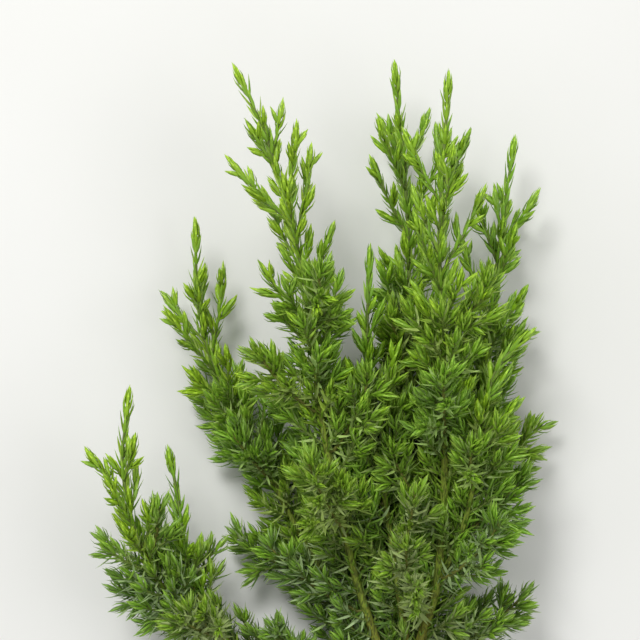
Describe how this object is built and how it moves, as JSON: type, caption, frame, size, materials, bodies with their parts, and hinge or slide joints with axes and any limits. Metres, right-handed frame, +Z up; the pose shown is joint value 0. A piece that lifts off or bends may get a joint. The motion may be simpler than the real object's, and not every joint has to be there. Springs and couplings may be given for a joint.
{
  "type": "cut chinese juniper branch",
  "caption": "Cut branch of Chinese juniper lying on its side: a stem with boughs that turn up into leaders, side sprays and pointed needles in threes.",
  "frame": {"origin": "on the floor under the middle of the box round the whole branch", "axes": "+Y from the cut end towards the tips, +X to the right as seen from above with the tips away, +Z up off the floor it lies on"},
  "size_m": [0.2188, 0.336, 0.0992],
  "materials": {
    "bark": "thin flaking red-brown bark, olive and smooth on the youngest wood",
    "needles": "blue-green pointed needles with a pale waxy upper side",
    "young_needles": "fresh green needles that close into lime bundles at the tips"
  },
  "bodies": {
    "root": {"back_bough": "bark", "back_bough_crown": "young_needles", "back_bough_spray_1": "needles", "back_bough_spray_2": "needles", "back_bough_spray_3": "needles", "back_bough_spray_4": "needles", "back_left_bough": "bark", "back_left_bough_crown": "young_needles", "back_left_bough_spray_1": "needles", "back_left_bough_spray_2": "needles", "back_left_bough_spray_3": "needles", "back_left_bough_spray_4": "needles", "back_right_bough": "bark", "back_right_bough_crown": "young_needles", "back_right_bough_spray_1": "needles", "back_right_bough_spray_2": "needles", "back_right_bough_spray_3": "needles", "left_bough": "bark", "left_bough_crown": "young_needles", "left_bough_spray_1": "needles", "left_bough_spray_2": "needles", "left_bough_spray_3": "needles", "left_bough_spray_4": "needles", "left_bough_spray_5": "needles", "left_bough_spray_6": "needles", "left_bough_spray_7": "needles", "left_bough_spray_8": "needles", "low_left_bough": "bark", "low_left_bough_crown": "young_needles", "low_left_bough_spray_1": "needles", "low_left_bough_spray_2": "needles", "low_left_bough_spray_3": "needles", "low_left_bough_spray_4": "needles", "low_left_bough_spray_5": "needles", "low_left_fork": "bark", "low_left_fork_crown": "young_needles", "low_left_fork_spray_1": "needles", "middle_bough": "bark", "middle_bough_crown": "young_needles", "middle_bough_spray_1": "needles", "middle_bough_spray_2": "needles", "middle_bough_spray_3": "needles", "middle_bough_spray_4": "needles", "right_bough": "bark", "right_bough_crown": "young_needles", "right_bough_spray_1": "needles", "right_bough_spray_2": "needles", "right_bough_spray_3": "needles", "stem": "bark", "stem_crown": "young_needles", "stem_spray_1": "needles", "stem_spray_2": "needles", "stem_spray_3": "needles", "stem_spray_4": "needles", "stem_spray_5": "needles", "stem_spray_6": "needles", "stem_spray_7": "needles", "stem_spray_8": "needles"}
  },
  "joints": []
}
